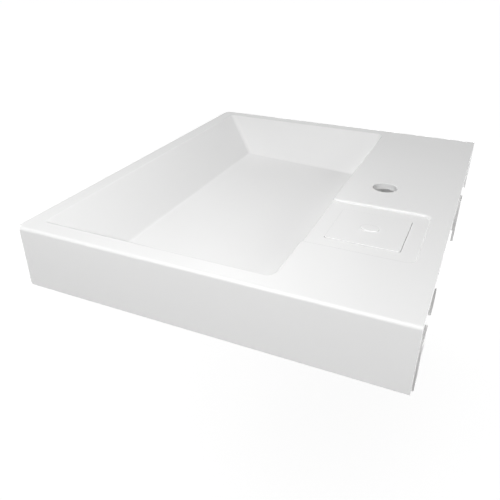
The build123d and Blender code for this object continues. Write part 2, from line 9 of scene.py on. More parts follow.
import bpy
from mathutils import Euler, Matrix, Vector


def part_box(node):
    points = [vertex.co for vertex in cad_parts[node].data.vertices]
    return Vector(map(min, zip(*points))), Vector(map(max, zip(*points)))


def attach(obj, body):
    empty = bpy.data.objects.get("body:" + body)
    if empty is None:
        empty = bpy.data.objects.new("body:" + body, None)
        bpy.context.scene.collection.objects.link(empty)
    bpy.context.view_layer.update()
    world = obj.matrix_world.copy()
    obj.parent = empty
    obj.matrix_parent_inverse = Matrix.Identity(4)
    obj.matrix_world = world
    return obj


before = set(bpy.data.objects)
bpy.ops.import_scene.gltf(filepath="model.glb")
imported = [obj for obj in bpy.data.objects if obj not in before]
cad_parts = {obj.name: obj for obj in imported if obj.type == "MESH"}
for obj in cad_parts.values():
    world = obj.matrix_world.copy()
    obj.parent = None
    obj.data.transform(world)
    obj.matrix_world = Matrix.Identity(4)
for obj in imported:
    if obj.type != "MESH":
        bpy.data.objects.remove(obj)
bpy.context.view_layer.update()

log = logging.getLogger("washbasin")

Colour = tuple[float, float, float]
Point = tuple[float, float, float]
Axis = tuple[float, float]
Span = tuple[float, float]

MM = 0.001

# The values that a noise mostly takes, so that a finish uses its whole range of colour or gloss.
NOISE_MIDDLE: Span = (0.3, 0.7)

# Faces of a swept detail that meet at more than this angle keep a crisp edge.
SHARP_ANGLE = math.radians(40)

# Turns in degrees, as the trap's arcs are stated.
QUARTER_TURN = 90.0
HALF_TURN = 180.0


class Body(Enum):
    """The bodies of the frame that pieces ride on."""

    BASIN = "basin"


class Slot(Enum):
    """The record's material slots that each new piece is listed under."""

    WHITE_PLASTIC = "white_plastic"
    PAINTED_STEEL = "painted_steel"


class Way(Enum):
    """Directions in the frame, seen from the front of the basin."""

    UP = (0.0, 0.0, 1.0)
    DOWN = (0.0, 0.0, -1.0)
    LEFT = (-1.0, 0.0, 0.0)
    FORWARD = (0.0, -1.0, 0.0)
    BACKWARD = (0.0, 1.0, 0.0)


def middle_of(node: str) -> Vector:
    """Finds the middle of a node's box, which is on the axis of a round node.

    Args:
        node: The node's name in the frame.

    Returns:
        The middle, at rest.
    """
    low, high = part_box(node)
    return (low + high) / 2


def upright_axis(node: str) -> Axis:
    """Finds the upright line through the middle of a node.

    Args:
        node: The node's name in the frame.

    Returns:
        The line's x and y.
    """
    middle = middle_of(node)
    return middle.x, middle.y


class Board:
    """The node tree of one material, with shorthands for the nodes that the finishes share."""

    def __init__(self, name: str) -> None:
        """Makes the material and its shader.

        Args:
            name: The material's name.
        """
        self.material = bpy.data.materials.new(name)
        self.material.use_nodes = True
        self.tree = self.material.node_tree
        self.shader = self.tree.nodes["Principled BSDF"]
        self.place = self.add("ShaderNodeTexCoord").outputs["Object"]

    def add(self, kind: str, **inputs: float | Point | bpy.types.NodeSocket) -> bpy.types.Node:
        """Adds a node.

        Args:
            kind: The node's type.
            **inputs: Values or links for its inputs, by name with _ for a space.

        Returns:
            The new node.
        """
        node = self.tree.nodes.new(kind)
        for name, value in inputs.items():
            self.feed(node.inputs[name.replace("_", " ")], value)
        return node

    def feed(self, socket: bpy.types.NodeSocket, value: float | Point | bpy.types.NodeSocket) -> None:
        """Sets an input to a value, or links another node's output to it.

        Args:
            socket: The input.
            value: A number, a colour or point, or an output.
        """
        if isinstance(value, bpy.types.NodeSocket):
            self.tree.links.new(value, socket)
        else:
            socket.default_value = value

    def noise(
        self, size: float, detail: float, where: bpy.types.NodeSocket | None = None
    ) -> bpy.types.NodeSocket:
        """A cloudy pattern.

        Args:
            size: Width of its blobs in metres.
            detail: How many finer layers it has.
            where: Coordinates, or None for the place on the piece.

        Returns:
            The pattern, which mostly lies within NOISE_MIDDLE.
        """
        node = self.add("ShaderNodeTexNoise", Vector=where or self.place, Scale=1.0 / size, Detail=detail)
        return node.outputs["Fac"]

    def cells(self, size: float) -> bpy.types.NodeSocket:
        """A pattern of cells that is 0 at each cell's middle.

        Args:
            size: Width of a cell in metres.

        Returns:
            The distance to the nearest middle.
        """
        return self.add("ShaderNodeTexVoronoi", Vector=self.place, Scale=1.0 / size).outputs["Distance"]

    def spread(self, pattern: bpy.types.NodeSocket, low: float, high: float) -> bpy.types.NodeSocket:
        """Maps a pattern's usual values to a range of values.

        Args:
            pattern: The pattern.
            low: The value where the pattern is low.
            high: The value where it is high.

        Returns:
            The mapped value.
        """
        least, most = NOISE_MIDDLE
        node = self.add(
            "ShaderNodeMapRange", Value=pattern, From_Min=least, From_Max=most, To_Min=low, To_Max=high
        )
        return node.outputs["Result"]

    def tint(self, pattern: bpy.types.NodeSocket, low: Colour, high: Colour) -> bpy.types.NodeSocket:
        """Runs from one colour to another over a pattern.

        Args:
            pattern: The pattern.
            low: The colour where the pattern is low.
            high: The colour where it is high.

        Returns:
            The colour.
        """
        node = self.add("ShaderNodeValToRGB", Fac=pattern)
        first, last = node.color_ramp.elements
        first.position, last.position = NOISE_MIDDLE
        first.color, last.color = (*low, 1.0), (*high, 1.0)
        return node.outputs["Color"]

    def bump(
        self, height: bpy.types.NodeSocket, depth: float, under: bpy.types.NodeSocket | None = None
    ) -> bpy.types.NodeSocket:
        """Turns a pattern into a relief.

        Args:
            height: The pattern.
            depth: How deep it is in metres.
            under: A relief that this one lies on, or None.

        Returns:
            The bumped normal.
        """
        node = self.add("ShaderNodeBump", Height=height, Distance=depth)
        if under is not None:
            self.feed(node.inputs["Normal"], under)
        return node.outputs["Normal"]

    def set(self, **inputs: float | Colour | bpy.types.NodeSocket) -> bpy.types.Material:
        """Sets the shader's inputs.

        Args:
            **inputs: Values or links, by name with _ for a space.

        Returns:
            The finished material.
        """
        for name, value in inputs.items():
            if isinstance(value, tuple) and len(value) == 3:
                value = (*value, 1.0)
            self.feed(self.shader.inputs[name.replace("_", " ")], value)
        return self.material


@dataclass(frozen=True)
class CastGloss:
    """The glazed surface of the cast basin: white, glossy and very slightly wavy."""

    name: str = "cast_gloss"
    pale: Colour = (0.905, 0.905, 0.902)
    shade: Colour = (0.9, 0.9, 0.898)
    cloud_size: float = 300 * MM
    gloss: Span = (0.2, 0.25)
    film_size: float = 90 * MM
    wave_size: float = 45 * MM
    wave_depth: float = 0.015 * MM
    detail: float = 1.0
    sheen_level: float = 0.28

    def build(self) -> bpy.types.Material:
        """Makes the finish.

        Returns:
            The finished material.
        """
        board = Board(self.name)
        clouds = board.noise(self.cloud_size, self.detail)
        film = board.noise(self.film_size, self.detail)
        waves = board.noise(self.wave_size, self.detail)
        return board.set(
            Base_Color=board.tint(clouds, self.shade, self.pale),
            Roughness=board.spread(film, *self.gloss),
            Specular_IOR_Level=self.sheen_level,
            Normal=board.bump(waves, self.wave_depth),
        )


@dataclass(frozen=True)
class CastBackPaintedShade:
    """The unglazed back of the casting, with fine pits and a dusty grain, coloured near-black as painted
    shade that darkens the hollow under the deck.
    """

    name: str = "cast_back_painted_shade"
    # Both colours are near-black painted shade, so the hollow seen through the tap hole reads dark.
    pale: Colour = (0.13, 0.13, 0.128)
    shade: Colour = (0.09, 0.09, 0.089)
    cloud_size: float = 35 * MM
    cloud_detail: float = 6.0
    roughness: Span = (0.55, 0.8)
    grain_size: float = 1.8 * MM
    grain_detail: float = 3.0
    grain_depth: float = 0.22 * MM
    pit_size: float = 6 * MM
    pit_depth: float = 0.3 * MM

    def build(self) -> bpy.types.Material:
        """Makes the finish.

        Returns:
            The finished material.
        """
        board = Board(self.name)
        clouds = board.noise(self.cloud_size, self.cloud_detail)
        grain = board.noise(self.grain_size, self.grain_detail)
        pits = board.bump(board.spread(board.cells(self.pit_size), 0.0, 1.0), self.pit_depth)
        return board.set(
            Base_Color=board.tint(clouds, self.shade, self.pale),
            Roughness=board.spread(grain, *self.roughness),
            Normal=board.bump(grain, self.grain_depth, under=pits),
        )


@dataclass(frozen=True)
class MouldedPlastic:
    """White moulded plastic with a soft sheen and a fine orange peel."""

    name: str
    pale: Colour
    shade: Colour
    roughness: Span
    flow_size: float = 20 * MM
    flow_detail: float = 4.0
    peel_size: float = 1.3 * MM
    peel_detail: float = 2.0
    peel_depth: float = 0.06 * MM

    def build(self) -> bpy.types.Material:
        """Makes the finish.

        Returns:
            The finished material.
        """
        board = Board(self.name)
        flow = board.noise(self.flow_size, self.flow_detail)
        peel = board.noise(self.peel_size, self.peel_detail)
        return board.set(
            Base_Color=board.tint(flow, self.shade, self.pale),
            Roughness=board.spread(flow, *self.roughness),
            Normal=board.bump(peel, self.peel_depth),
        )


@dataclass(frozen=True)
class SealRubber:
    """Black rubber with a dry bloom."""

    name: str = "seal_rubber_dressed"
    dark: Colour = (0.022, 0.022, 0.023)
    bloom: Colour = (0.055, 0.055, 0.058)
    bloom_size: float = 9 * MM
    bloom_detail: float = 5.0
    grain_size: float = 0.6 * MM
    grain_detail: float = 2.0
    grain_depth: float = 0.08 * MM
    roughness: Span = (0.6, 0.82)

    def build(self) -> bpy.types.Material:
        """Makes the finish.

        Returns:
            The finished material.
        """
        board = Board(self.name)
        bloom = board.noise(self.bloom_size, self.bloom_detail)
        grain = board.noise(self.grain_size, self.grain_detail)
        return board.set(
            Base_Color=board.tint(bloom, self.dark, self.bloom),
            Roughness=board.spread(bloom, *self.roughness),
            Normal=board.bump(grain, self.grain_depth),
        )


@dataclass(frozen=True)
class TurnedMetal:
    """Metal with fine turning marks in rings round an upright axis."""

    name: str
    pale: Colour
    shade: Colour
    axis: Axis
    ring_size: float = 0.5 * MM
    ring_detail: float = 2.0
    ring_depth: float = 0.03 * MM
    roughness: Span = (0.2, 0.38)
    metallic: float = 1.0

    def build(self) -> bpy.types.Material:
        """Makes the finish.

        Returns:
            The finished material.
        """
        board = Board(self.name)
        centred = board.add("ShaderNodeVectorMath", Vector=board.place)
        centred.operation = "SUBTRACT"
        centred.inputs[1].default_value = (*self.axis, 0.0)
        parts = board.add("ShaderNodeSeparateXYZ", Vector=centred.outputs["Vector"])
        flat = board.add("ShaderNodeCombineXYZ", X=parts.outputs["X"], Y=parts.outputs["Y"])
        radius = board.add("ShaderNodeVectorMath", Vector=flat.outputs["Vector"])
        radius.operation = "LENGTH"
        rings_place = board.add("ShaderNodeCombineXYZ", X=radius.outputs["Value"], Z=parts.outputs["Z"])
        rings = board.noise(self.ring_size, self.ring_detail, rings_place.outputs["Vector"])
        return board.set(
            Base_Color=board.tint(rings, self.shade, self.pale),
            Metallic=self.metallic,
            Roughness=board.spread(rings, *self.roughness),
            Normal=board.bump(rings, self.ring_depth),
        )


@dataclass(frozen=True)
class ZincPlate:
    """Bright zinc plating with a faint crystal mottle."""

    name: str = "zinc_plate"
    pale: Colour = (0.72, 0.73, 0.75)
    shade: Colour = (0.55, 0.57, 0.60)
    crystal_size: float = 2.2 * MM
    grain_size: float = 0.4 * MM
    grain_detail: float = 2.0
    grain_depth: float = 0.03 * MM
    roughness: Span = (0.24, 0.42)
    metallic: float = 1.0

    def build(self) -> bpy.types.Material:
        """Makes the finish.

        Returns:
            The finished material.
        """
        board = Board(self.name)
        crystals = board.cells(self.crystal_size)
        grain = board.noise(self.grain_size, self.grain_detail)
        return board.set(
            Base_Color=board.tint(crystals, self.shade, self.pale),
            Metallic=self.metallic,
            Roughness=board.spread(crystals, *self.roughness),
            Normal=board.bump(grain, self.grain_depth),
        )


@dataclass(frozen=True)
class PowderCoat:
    """White powder coat over steel, with the coat's orange peel."""

    name: str = "powder_coat"
    pale: Colour = (0.85, 0.85, 0.845)
    shade: Colour = (0.82, 0.82, 0.815)
    cloud_size: float = 30 * MM
    cloud_detail: float = 4.0
    peel_size: float = 1.6 * MM
    peel_detail: float = 1.0
    peel_depth: float = 0.12 * MM
    roughness: Span = (0.3, 0.42)

    def build(self) -> bpy.types.Material:
        """Makes the finish.

        Returns:
            The finished material.
        """
        board = Board(self.name)
        clouds = board.noise(self.cloud_size, self.cloud_detail)
        peel = board.noise(self.peel_size, self.peel_detail)
        return board.set(
            Base_Color=board.tint(clouds, self.shade, self.pale),
            Roughness=board.spread(clouds, *self.roughness),
            Normal=board.bump(peel, self.peel_depth),
        )


@dataclass
class Finishes:
    """Every finish of the washbasin, built once and shared by the pieces."""

    waste_axis: Axis = upright_axis("waste_union_nut")
    cast_gloss: bpy.types.Material = field(init=False)
    cast_back_painted_shade: bpy.types.Material = field(init=False)
    pipe_plastic: bpy.types.Material = field(init=False)
    nut_plastic: bpy.types.Material = field(init=False)
    rubber: bpy.types.Material = field(init=False)
    strainer_steel: bpy.types.Material = field(init=False)
    brass: bpy.types.Material = field(init=False)
    zinc: bpy.types.Material = field(init=False)
    powder_coat: bpy.types.Material = field(init=False)

    def __post_init__(self) -> None:
        """Builds the materials."""
        self.cast_gloss = CastGloss().build()
        self.cast_back_painted_shade = CastBackPaintedShade().build()
        self.pipe_plastic = MouldedPlastic(
            "pipe_plastic", pale=(0.86, 0.86, 0.852), shade=(0.835, 0.835, 0.826), roughness=(0.26, 0.34)
        ).build()
        self.nut_plastic = MouldedPlastic(
            "nut_plastic", pale=(0.84, 0.84, 0.832), shade=(0.815, 0.815, 0.807), roughness=(0.32, 0.42)
        ).build()
        self.rubber = SealRubber().build()
        self.strainer_steel = TurnedMetal(
            "strainer_steel", pale=(0.74, 0.74, 0.745), shade=(0.6, 0.6, 0.61), axis=self.waste_axis
        ).build()
        self.brass = TurnedMetal(
            "turned_brass", pale=(0.83, 0.66, 0.35), shade=(0.7, 0.53, 0.26), axis=self.waste_axis
        ).build()
        self.zinc = ZincPlate().build()
        self.powder_coat = PowderCoat().build()


@dataclass(frozen=True)
class Station:
    """One cross-section's place on a swept detail.

    Attributes:
        centre: The point of the carrier that the section stands on.
        out: The way out of the carrier.
        side: The way along the section's width.
        grown: The share of the full height that the section has here.
    """

    centre: Vector
    out: Vector
    side: Vector
    grown: float = 1.0


def sweep(name: str, stations: Sequence[Station], profile: Sequence[tuple[float, float]]) -> bpy.types.Object:
    """Draws a closed strip whose section moves from station to station.

    Args:
        name: The piece's name.
        stations: The places of the section, in order.
        profile: The section's corners as (out, side) distances. A station's grown factor scales
            what stands above the carrier.

    Returns:
        The new object.
    """
    vertices: list[Vector] = []
    for station in stations:
        for out, side in profile:
            lift = out * station.grown if out > 0 else out
            vertices.append(station.centre + station.out * lift + station.side * side)
    count = len(profile)
    faces: list[tuple[int, ...]] = []
    for row in range(len(stations) - 1):
        for corner in range(count):
            here, there = row * count + corner, row * count + (corner + 1) % count
            faces.append((here, there, there + count, here + count))
    faces.append(tuple(reversed(range(count))))
    faces.append(tuple(range((len(stations) - 1) * count, len(stations) * count)))
    mesh = bpy.data.meshes.new(name)
    mesh.from_pydata([tuple(vertex) for vertex in vertices], [], faces)
    mesh.validate()
    mesh.shade_smooth()
    mesh.set_sharp_from_angle(angle=SHARP_ANGLE)
    piece = bpy.data.objects.new(name, mesh)
    bpy.context.scene.collection.objects.link(piece)
    return piece


@dataclass(frozen=True)
class Thread:
    """A moulded thread that winds round a spigot and runs out at both ends.

    Attributes:
        name: The piece's name.
        start: The point on the axis where the threaded length begins.
        way: The way along the axis.
        radius: The spigot's radius.
        length: The threaded length.
        pitch: The advance in one turn.
        height: How far the ridge stands out.
        root: How deep its foot is sunk into the spigot.
        crest: The width of its top.
        foot: Half the width of its foot.
        steps_per_turn: The number of sections in one turn.
        runout_turns: The turns over which it grows at each end.
        least_grown: The share of the height that is left at its ends.
    """

    name: str
    start: Point
    way: Way
    radius: float
    length: float
    pitch: float = 3.0 * MM
    height: float = 0.32 * MM
    root: float = 0.2 * MM
    crest: float = 0.5 * MM
    foot: float = 1.15 * MM
    steps_per_turn: int = 40
    runout_turns: float = 0.35
    least_grown: float = 0.02

    def build(self) -> bpy.types.Object:
        """Winds the thread.

        Returns:
            The thread as a new object.
        """
        along = Vector(self.way.value)
        across = along.orthogonal().normalized()
        beside = along.cross(across)
        turns = (self.length - 2 * self.foot) / self.pitch
        steps = int(turns * self.steps_per_turn)
        stations: list[Station] = []
        for step in range(steps + 1):
            turn = step / self.steps_per_turn
            angle = 2 * math.pi * turn
            out = across * math.cos(angle) + beside * math.sin(angle)
            reach = self.foot + turn * self.pitch
            grown = min(1.0, turn / self.runout_turns, (turns - turn) / self.runout_turns)
            centre = Vector(self.start) + along * reach + out * self.radius
            stations.append(Station(centre, out, along, max(grown, self.least_grown)))
        profile = (
            (-self.root, -self.foot), (self.height, -self.crest / 2),
            (self.height, self.crest / 2), (-self.root, self.foot),
        )
        return sweep(self.name, stations, profile)


@dataclass(frozen=True)
class WeldBead:
    """A rippled weld in the corner between two plates.

    Attributes:
        name: The piece's name.
        start: One end of the corner.
        end: The other end.
        first_face: The way that the first plate faces.
        second_face: The way that the second plate faces.
        leg: The bead's width on each plate.
        ripple: How much of the width comes and goes with the ripples.
        ripple_pitch: The distance from ripple to ripple.
        end_share: The share of the width that is left at the bead's ends.
        sunk_share: How deep the bead is sunk into the corner, as a share of its width.
        corners: The number of facets round the bead.
        steps_per_ripple: The number of sections in one ripple.
    """

    name: str
    start: Point
    end: Point
    first_face: Point
    second_face: Point
    leg: float = 1.6 * MM
    ripple: float = 0.14
    ripple_pitch: float = 1.7 * MM
    end_share: float = 0.55
    sunk_share: float = 0.15
    corners: int = 6
    steps_per_ripple: int = 5

    def build(self) -> bpy.types.Object:
        """Lays the bead.

        Returns:
            The bead as a new object.
        """
        start, end = Vector(self.start), Vector(self.end)
        first, second = Vector(self.first_face), Vector(self.second_face)
        span = end - start
        steps = int(span.length / self.ripple_pitch * self.steps_per_ripple)
        stations: list[Station] = []
        for step in range(steps + 1):
            share = step / steps
            wave = abs(math.sin(math.pi * step / self.steps_per_ripple))
            grown = 1.0 - self.ripple + self.ripple * wave
            if step in (0, steps):
                grown *= self.end_share
            stations.append(Station(start + span * share, first * grown, second * grown))
        sunk = -self.sunk_share * self.leg
        profile = [(sunk, sunk)]
        for corner in range(self.corners + 1):
            angle = math.pi / 2 * corner / self.corners
            profile.append((self.leg * math.cos(angle), self.leg * math.sin(angle)))
        return sweep(self.name, stations, profile)


@dataclass(frozen=True)
class PartingLine:
    """The fine ridge that a mould's joint leaves along a curved pipe.

    Attributes:
        name: The piece's name.
        centre: The centre of the pipe's bend.
        radius: The distance from there to the ridge.
        from_angle: Where the ridge starts, in degrees down from the inlet's side.
        to_angle: Where it ends.
        outward: 1 on the outside of the bend and -1 on the inside.
        width: The width of its foot.
        crest_share: The width of its top as a share of its foot.
        height: How far it stands out.
        root: How deep its foot is sunk into the pipe.
        taper_share: The share of its length over which it grows at each end.
        end_grown: The share of the height that it has at its ends.
        steps: The number of sections, less one.
    """

    name: str
    centre: Point
    radius: float
    from_angle: float
    to_angle: float
    outward: float
    width: float = 0.5 * MM
    crest_share: float = 1 / 3
    height: float = 0.2 * MM
    root: float = 0.25 * MM
    taper_share: float = 1 / 8
    end_grown: float = 0.05
    steps: int = 60

    def build(self) -> bpy.types.Object:
        """Draws the ridge in the plane of the bend.

        Returns:
            The ridge as a new object.
        """
        stations: list[Station] = []
        for step in range(self.steps + 1):
            share = step / self.steps
            angle = math.radians(self.from_angle + (self.to_angle - self.from_angle) * share)
            ray = Vector((math.cos(angle), 0.0, -math.sin(angle)))
            grown = min(1.0, min(share, 1 - share) / self.taper_share + self.end_grown)
            place = Vector(self.centre) + ray * self.radius
            stations.append(Station(place, ray * self.outward, Vector(Way.BACKWARD.value), grown))
        half = self.width / 2
        crest = half * self.crest_share
        profile = ((-self.root, -half), (self.height, -crest), (self.height, crest), (-self.root, half))
        return sweep(self.name, stations, profile)


@dataclass
class SubAssembly:
    """What every sub-assembly shares: it dresses nodes of the frame and adds pieces of its own.

    Attributes:
        finishes: The finishes to dress them in.
        split_gap: Vertices this close are one, where the frame splits them along a sharp edge.
        edge_angle: Edges sharper than this are rounded.
        edge_width: The width of that round.
        edge_segments: The number of facets across it.
        made: The names of the pieces dressed or added so far.
    """

    finishes: Finishes
    split_gap: float = 0.01 * MM
    edge_angle: float = math.radians(38)
    edge_width: float = 0.3 * MM
    edge_segments: int = 2
    made: list[str] = field(default_factory=list)

    def dress(self, node: str, finish: bpy.types.Material, soften: bool = True) -> bpy.types.Object:
        """Gives a node its finish and, unless told not to, a fine round on its sharp edges.

        Args:
            node: The node's name.
            finish: The material.
            soften: Whether its edges are rounded.

        Returns:
            The node's object.
        """
        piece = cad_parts[node]
        for slot in piece.material_slots:
            slot.material = finish
        if soften:
            join = piece.modifiers.new("join", "WELD")
            join.merge_threshold = self.split_gap
            bevel = piece.modifiers.new("edge_round", "BEVEL")
            bevel.limit_method = "ANGLE"
            bevel.angle_limit = self.edge_angle
            bevel.width = self.edge_width
            bevel.segments = self.edge_segments
            bevel.use_clamp_overlap = True
            normals = piece.modifiers.new("normals", "WEIGHTED_NORMAL")
            normals.keep_sharp = True
        self.made.append(node)
        return piece

    def add_piece(
        self, piece: bpy.types.Object, body: Body, slot: Slot, finish: bpy.types.Material
    ) -> bpy.types.Object:
        """Finishes a new piece and lets it ride on a body.

        Args:
            piece: The piece.
            body: The body that it moves with.
            slot: The record's material slot that it belongs to. Not used.
            finish: The material.

        Returns:
            The piece.
        """
        piece.data.materials.append(finish)
        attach(piece, body.value)
        self.made.append(piece.name)
        return piece

    def report(self) -> None:
        """Logs the pieces that the sub-assembly has dressed or added."""
        for name in self.made:
            log.info("%s: %s", type(self).__name__, name)


@dataclass
class BasinCasting(SubAssembly):
    """The one-piece cast basin: glazed where it shows, left rough at the back, where its near-black colour is
    painted shade.

    Attributes:
        skin: Faces this near the casting's sides, front or rear are glazed.
        deck_depth: Upright faces this near the rim's level are glazed.
        bowl_back: Where the bowl's rear wall is along y. Its side towards the bowl is glazed.
        sump_low: The lowest corner of a box round the sump's glazed inside.
        sump_high: The highest corner of that box.
        tap_axis: The tap hole's upright line.
        tap_reach: Upright faces this near that line are glazed.
        level_limit: The normal's z from which a face counts as looking up, or down below its negative.
        facing_limit: The same along y, for a face that looks towards the bowl.
        foot: Faces below this height are glazed.
        low: The lowest corner of the casting's box.
        high: The highest corner of that box.
    """

    skin: float = 9 * MM
    deck_depth: float = 6 * MM
    bowl_back: Span = (-165.5 * MM, -160.0 * MM)
    sump_low: Point = (56.5 * MM, -165.0 * MM, 17.0 * MM)
    sump_high: Point = (177.5 * MM, -34.5 * MM, 73.0 * MM)
    tap_axis: Axis = (-20 * MM, -103 * MM)
    tap_reach: float = 18.5 * MM
    level_limit: float = 0.06
    facing_limit: float = 0.9
    foot: float = 0.5 * MM
    low: Vector = field(init=False)
    high: Vector = field(init=False)

    def __post_init__(self) -> None:
        """Reads the casting's box from the frame."""
        self.low, self.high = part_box("basin_shell")

    def in_skin(self, place: Vector) -> bool:
        """Tells whether a place is in the outer skin of the casting's sides, front or rear.

        Args:
            place: The place.

        Returns:
            True in the skin.
        """
        within_sides = self.low.x + self.skin <= place.x <= self.high.x - self.skin
        within_depth = self.low.y + self.skin <= place.y <= self.high.y - self.skin
        return not (within_sides and within_depth)

    def is_back(self, centre: Vector, normal: Vector) -> bool:
        """Tells whether a face belongs to the unglazed back of the casting.

        Args:
            centre: The face's middle.
            normal: The way that it faces.

        Returns:
            True for a face of the back.
        """
        in_sump = all(low < place < high for low, place, high in zip(self.sump_low, centre, self.sump_high))
        if in_sump or centre.z < self.foot or self.in_skin(centre):
            return False
        if normal.z < -self.level_limit:
            return True
        if normal.z > self.level_limit or centre.z > self.high.z - self.deck_depth:
            return False
        nearest, farthest = self.bowl_back
        if nearest < centre.y < farthest and normal.y < -self.facing_limit:
            return False
        return math.dist(centre.xy, self.tap_axis) > self.tap_reach

    def build(self) -> None:
        """Dresses the basin."""
        shell = self.dress("basin_shell", self.finishes.cast_gloss, soften=False)
        # The back faces take the near-black finish, whose dark colour is painted shade.
        shell.data.materials.append(self.finishes.cast_back_painted_shade)
        last = len(shell.data.materials) - 1
        for face in shell.data.polygons:
            if self.is_back(face.center, face.normal):
                face.material_index = last


@dataclass
class SoapShelf(SubAssembly):
    """The lift-off plate in the deck's recess."""

    def build(self) -> None:
        """Dresses the plate."""
        self.dress("soap_plate", self.finishes.cast_gloss, soften=False)


@dataclass
class WasteSet(SubAssembly):
    """The grid, its screw and the body that they draw up against the sump."""

    axis: Axis = upright_axis("waste_union_nut")
    tail_end: float = -27.75 * MM
    tail_radius: float = 24 * MM
    thread_length: float = 28 * MM

    def build(self) -> None:
        """Dresses the waste and adds the thread on its tail."""
        self.dress("waste_grid", self.finishes.strainer_steel, soften=False)
        self.dress("waste_screw", self.finishes.strainer_steel, soften=False)
        self.dress("waste_body", self.finishes.nut_plastic)
        self.dress("waste_union_nut", self.finishes.nut_plastic)
        self.dress("waste_nut", self.finishes.brass)
        for node in ("grid_seal", "waste_lower_seal", "union_gasket"):
            self.dress(node, self.finishes.rubber)
        thread = Thread(
            "waste_tail_thread", (*self.axis, self.tail_end), Way.UP, self.tail_radius, self.thread_length
        ).build()
        self.add_piece(thread, Body.BASIN, Slot.WHITE_PLASTIC, self.finishes.nut_plastic)


@dataclass
class Trap(SubAssembly):
    """The inlet pipe, the bend with its two slip joints and the outlet pipe.

    Attributes:
        inlet_axis: The upright line through the inlet.
        outlet_axis: The upright line through the outlet.
        inlet_socket_top: The height where the inlet socket's thread starts.
        outlet_socket_top: The height where the outlet socket's thread starts.
        socket_radius: The sockets' radius.
        socket_thread: The length of their threads.
        pipe_radius: The pipe's radius.
        bend_level: The height of the centre of the bend.
        boss_half_angle: How many degrees to each side of the bend's foot the boss takes up.
        clear_angle: How many degrees below the sockets' ends of the bend the outer ridges stop.
        inner_from_angle: Where the ridge inside the bend starts, in degrees down from the inlet's side.
        inner_to_angle: Where it ends.
    """

    inlet_axis: Axis = upright_axis("inlet_slip_nut")
    outlet_axis: Axis = upright_axis("outlet_slip_nut")
    inlet_socket_top: float = -73.3 * MM
    outlet_socket_top: float = -83.3 * MM
    socket_radius: float = 24 * MM
    socket_thread: float = 20.5 * MM
    pipe_radius: float = 20 * MM
    bend_level: float = -105.256 * MM
    boss_half_angle: float = 17.5
    clear_angle: float = 4.5
    inner_from_angle: float = 9.0
    inner_to_angle: float = 166.5

    def build(self) -> None:
        """Dresses the pipes and adds the socket threads and the bend's parting lines."""
        for node in ("inlet_pipe", "outlet_pipe", "trap_bend"):
            self.dress(node, self.finishes.pipe_plastic)
        for side in ("inlet", "outlet"):
            self.dress(f"{side}_slip_nut", self.finishes.nut_plastic)
            self.dress(f"{side}_cone_seal", self.finishes.rubber)
        self.add_socket_thread("inlet", self.inlet_axis, self.inlet_socket_top)
        self.add_socket_thread("outlet", self.outlet_axis, self.outlet_socket_top)
        self.add_parting_lines()

    def add_socket_thread(self, side: str, axis: Axis, top: float) -> None:
        """Winds the thread on one of the bend's two sockets.

        Args:
            side: Which socket it is.
            axis: The socket's upright line.
            top: The height where the thread starts.
        """
        thread = Thread(
            f"{side}_socket_thread", (*axis, top), Way.DOWN, self.socket_radius, self.socket_thread
        ).build()
        self.add_piece(thread, Body.BASIN, Slot.WHITE_PLASTIC, self.finishes.pipe_plastic)

    def add_parting_lines(self) -> None:
        """Draws the mould's ridges on the bend: two outside, clear of the boss, and one inside."""
        (inlet_x, y), (outlet_x, _) = self.inlet_axis, self.outlet_axis
        centre = ((inlet_x + outlet_x) / 2, y, self.bend_level)
        bend_radius = (inlet_x - outlet_x) / 2
        outside, inside = bend_radius + self.pipe_radius, bend_radius - self.pipe_radius
        before_boss, after_boss = QUARTER_TURN - self.boss_half_angle, QUARTER_TURN + self.boss_half_angle
        arcs = (
            ("inlet", outside, self.clear_angle, before_boss, 1.0),
            ("outlet", outside, after_boss, HALF_TURN - self.clear_angle, 1.0),
            ("inner", inside, self.inner_from_angle, self.inner_to_angle, -1.0),
        )
        for side, radius, low, high, outward in arcs:
            ridge = PartingLine(f"{side}_parting_line", centre, radius, low, high, outward).build()
            self.add_piece(ridge, Body.BASIN, Slot.WHITE_PLASTIC, self.finishes.pipe_plastic)


@dataclass
class HoseBranch(SubAssembly):
    """The branch for the machine's drain hose, with its swivelling elbow."""

    mouth_x: float = 154.8 * MM
    branch_radius: float = 12 * MM
    thread_length: float = 14 * MM
    thread_pitch: float = 2.4 * MM
    thread_foot: float = 0.9 * MM

    def build(self) -> None:
        """Dresses the elbow, nut and gasket and adds the branch's thread."""
        self.dress("hose_elbow", self.finishes.pipe_plastic)
        self.dress("hose_nut", self.finishes.nut_plastic)
        self.dress("branch_gasket", self.finishes.rubber)
        nut = middle_of("hose_nut")
        thread = Thread(
            "branch_thread", (self.mouth_x, nut.y, nut.z), Way.LEFT, self.branch_radius, self.thread_length,
            pitch=self.thread_pitch, foot=self.thread_foot,
        ).build()
        self.add_piece(thread, Body.BASIN, Slot.WHITE_PLASTIC, self.finishes.pipe_plastic)


@dataclass
class CleanOut(SubAssembly):
    """The cap at the foot of the trap, with its seal and the boss's thread."""

    axis: Axis = upright_axis("cleanout_cap")
    boss_end: float = -165.1 * MM
    boss_radius: float = 14 * MM
    thread_length: float = 7.4 * MM
    thread_foot: float = 0.9 * MM

    def build(self) -> None:
        """Dresses the cap and seal and adds the boss's thread."""
        self.dress("cleanout_cap", self.finishes.nut_plastic)
        self.dress("cleanout_seal", self.finishes.rubber)
        thread = Thread(
            "boss_thread", (*self.axis, self.boss_end), Way.UP, self.boss_radius, self.thread_length,
            foot=self.thread_foot,
        ).build()
        self.add_piece(thread, Body.BASIN, Slot.WHITE_PLASTIC, self.finishes.pipe_plastic)


